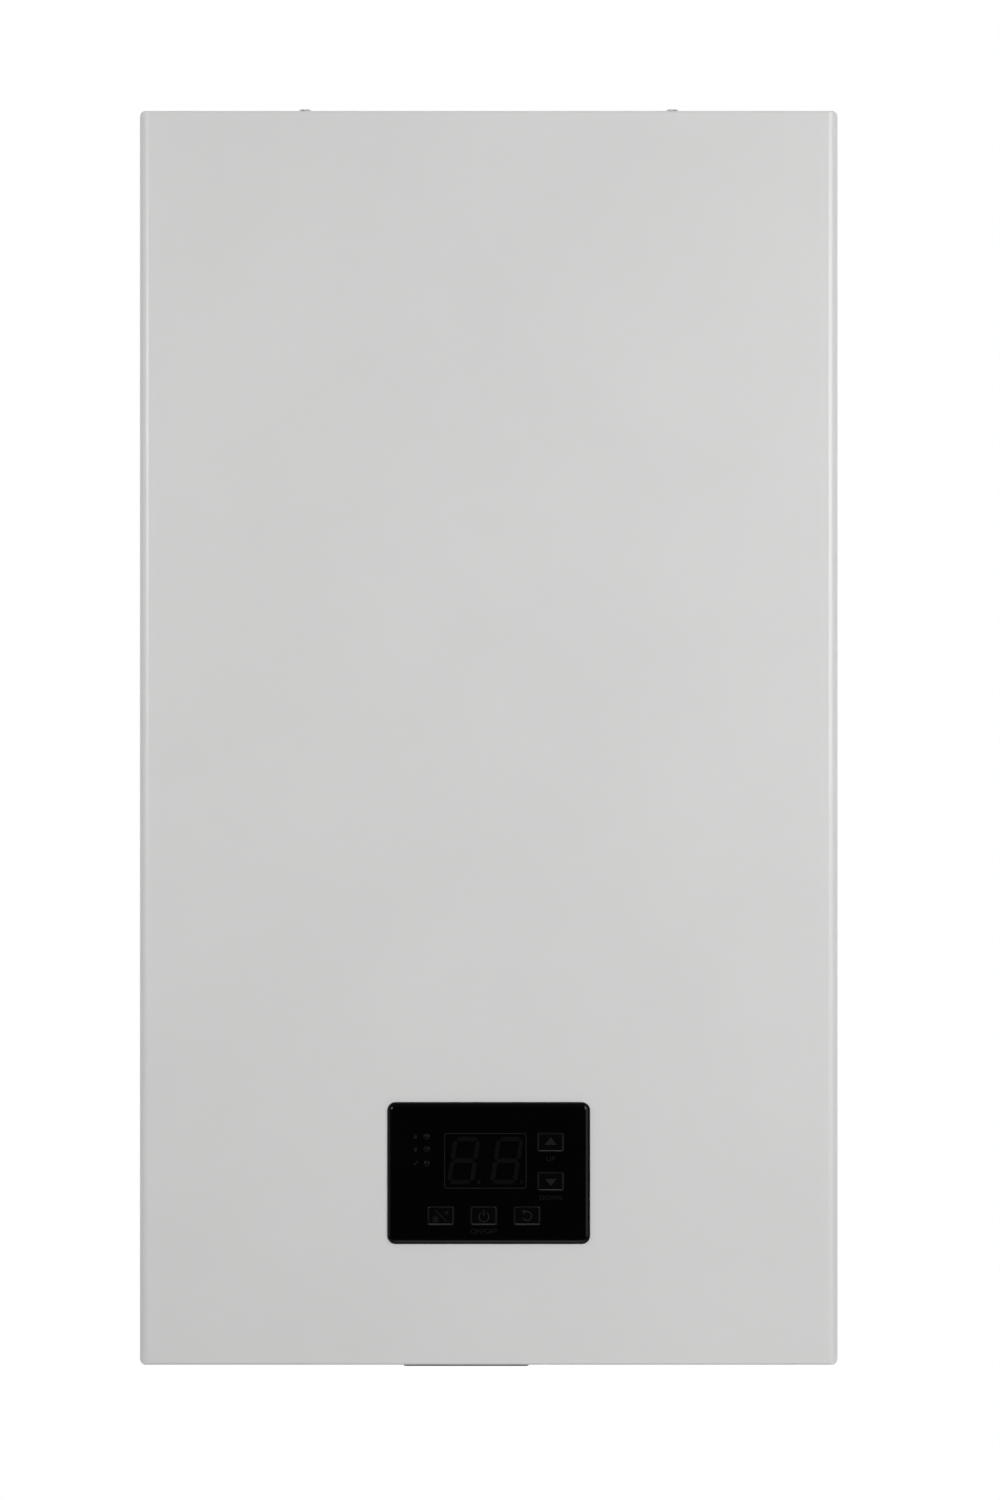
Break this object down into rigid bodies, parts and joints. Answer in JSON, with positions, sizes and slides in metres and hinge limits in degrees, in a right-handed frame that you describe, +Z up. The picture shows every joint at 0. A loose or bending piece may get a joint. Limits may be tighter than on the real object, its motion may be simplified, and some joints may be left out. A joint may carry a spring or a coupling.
{
  "type": "gas boiler",
  "caption": "Wall-hung room-sealed gas boiler: a tall pale painted steel casing with a small glossy black control panel low on its front, and pipe connections underneath.",
  "frame": {"origin": "centre of the wall bracket's bolt line, on the wall", "axes": "+Z up, +X to the right seen from the front, +Y into the wall; the front faces -Y"},
  "size_m": [0.39, 0.3024, 0.7229],
  "materials": {
    "cover_paint": "satin powder coat",
    "zinc_steel": "zinc plated sheet",
    "stainless": "satin",
    "aluminised": "satin sheet",
    "screw_steel": "bright zinc",
    "brass": "turned",
    "copper": "drawn copper tube",
    "pump_iron": "cast and coated",
    "motor_paint": "satin",
    "vessel_red": "gloss enamel",
    "fibre_board": "soft ceramic fibre",
    "white_ceramic": "unglazed",
    "grey_plastic": "moulded",
    "dark_plastic": "moulded",
    "black_gloss": "high gloss",
    "lens_smoke": "smoked window",
    "key_black": "high gloss",
    "digit_grey": "unlit segments",
    "circuit_green": "lacquered board",
    "hose_silicone": "silicone",
    "red_plastic": "moulded knob",
    "blue_plastic": "moulded knob",
    "cast_aluminium": "die cast"
  },
  "bodies": {
    "bracket": {"wall_bracket": "zinc_steel"},
    "boiler": {"back_panel": "zinc_steel", "side_frames": "zinc_steel", "top_panel": "zinc_steel", "base_panel": "zinc_steel", "chamber_casing": "aluminised", "chamber_door": "aluminised", "combustion_box": "stainless", "insulation_boards": "fibre_board", "exchanger_fins": "copper", "exchanger_tubes": "copper", "flue_hood": "aluminised", "fan_housing": "cast_aluminium", "fan_motor": "motor_paint", "flue_flange": "cast_aluminium", "pressure_switch": "dark_plastic", "pressure_hose": "hose_silicone", "burner_ramps": "stainless", "gas_manifold": "aluminised", "electrodes": "white_ceramic", "gas_inlet_pipe": "copper", "gas_valve": "cast_aluminium", "gas_pipe": "copper", "expansion_vessel": "vessel_red", "vessel_pipe": "copper", "flow_pipe": "copper", "return_pipe": "copper", "pump_housing": "pump_iron", "pump_motor": "motor_paint", "return_manifold": "brass", "flow_manifold": "brass", "plate_exchanger": "stainless", "diverter_motor": "dark_plastic", "safety_valve": "brass", "air_vent": "brass", "gauge_case": "dark_plastic", "control_box": "grey_plastic", "control_lid": "grey_plastic", "main_board": "circuit_green", "terminal_box": "dark_plastic", "fasteners": "screw_steel"},
    "cover": {"front_cover": "cover_paint", "cover_screws": "screw_steel", "display_bezel": "black_gloss", "display_lens": "lens_smoke", "display_board": "circuit_green", "display_digits": "digit_grey"},
    "fan_wheel": {"fan_wheel": "stainless"},
    "pump_rotor": {"pump_rotor": "stainless"},
    "diverter_spindle": {"diverter_spindle": "stainless"},
    "safety_knob": {"safety_knob": "red_plastic"},
    "vent_cap": {"vent_cap": "dark_plastic"},
    "gauge_needle": {"gauge_needle": "red_plastic"},
    "filling_knob": {"filling_knob": "blue_plastic"},
    "drain_cock": {"drain_cock": "brass"},
    "button_up": {"button_up": "key_black"},
    "button_down": {"button_down": "key_black"},
    "button_season": {"button_season": "key_black"},
    "button_power": {"button_power": "key_black"},
    "button_reset": {"button_reset": "key_black"}
  },
  "joints": [
    {"name": "lift_off", "type": "slide", "parent": "bracket", "child": "boiler", "axis": [0, 0, 1], "range_m": [0, 0.022]},
    {"name": "cover_pull", "type": "slide", "parent": "boiler", "child": "cover", "axis": [0, -1, 0], "range_m": [0, 0.32]},
    {"name": "fan_spin", "type": "hinge", "parent": "boiler", "child": "fan_wheel", "pos_m": [0.017, -0.1814, -0.032], "axis": [0, 1, 0], "continuous": true},
    {"name": "pump_spin", "type": "hinge", "parent": "boiler", "child": "pump_rotor", "pos_m": [0.13, -0.115, -0.5], "axis": [0, 1, 0], "continuous": true},
    {"name": "diverter_lift", "type": "slide", "parent": "boiler", "child": "diverter_spindle", "axis": [0, 0, 1], "range_m": [0, 0.006]},
    {"name": "safety_turn", "type": "hinge", "parent": "boiler", "child": "safety_knob", "pos_m": [0.075, -0.149, -0.571], "axis": [0, -1, 0], "range_deg": [0, 90]},
    {"name": "vent_cap_turn", "type": "hinge", "parent": "boiler", "child": "vent_cap", "pos_m": [0.1, -0.115, -0.45], "axis": [0, 0, 1], "range_deg": [0, 180]},
    {"name": "gauge_swing", "type": "hinge", "parent": "boiler", "child": "gauge_needle", "pos_m": [-0.1, -0.19, -0.6316], "axis": [0, 0, 1], "range_deg": [0, 240]},
    {"name": "filling_turn", "type": "hinge", "parent": "boiler", "child": "filling_knob", "pos_m": [0.0325, -0.09, -0.623], "axis": [0, 0, -1], "range_deg": [0, 270]},
    {"name": "drain_turn", "type": "hinge", "parent": "boiler", "child": "drain_cock", "pos_m": [0.0975, -0.09, -0.621], "axis": [0, 0, 1], "range_deg": [0, 90]},
    {"name": "button_up_press", "type": "slide", "parent": "cover", "child": "button_up", "axis": [0, 1, 0], "range_m": [0, 0.0005], "stiffness_N_per_m": 1500, "springref_m": -0.0005},
    {"name": "button_down_press", "type": "slide", "parent": "cover", "child": "button_down", "axis": [0, 1, 0], "range_m": [0, 0.0005], "stiffness_N_per_m": 1500, "springref_m": -0.0005},
    {"name": "button_season_press", "type": "slide", "parent": "cover", "child": "button_season", "axis": [0, 1, 0], "range_m": [0, 0.0005], "stiffness_N_per_m": 1500, "springref_m": -0.0005},
    {"name": "button_power_press", "type": "slide", "parent": "cover", "child": "button_power", "axis": [0, 1, 0], "range_m": [0, 0.0005], "stiffness_N_per_m": 1500, "springref_m": -0.0005},
    {"name": "button_reset_press", "type": "slide", "parent": "cover", "child": "button_reset", "axis": [0, 1, 0], "range_m": [0, 0.0005], "stiffness_N_per_m": 1500, "springref_m": -0.0005}
  ]
}
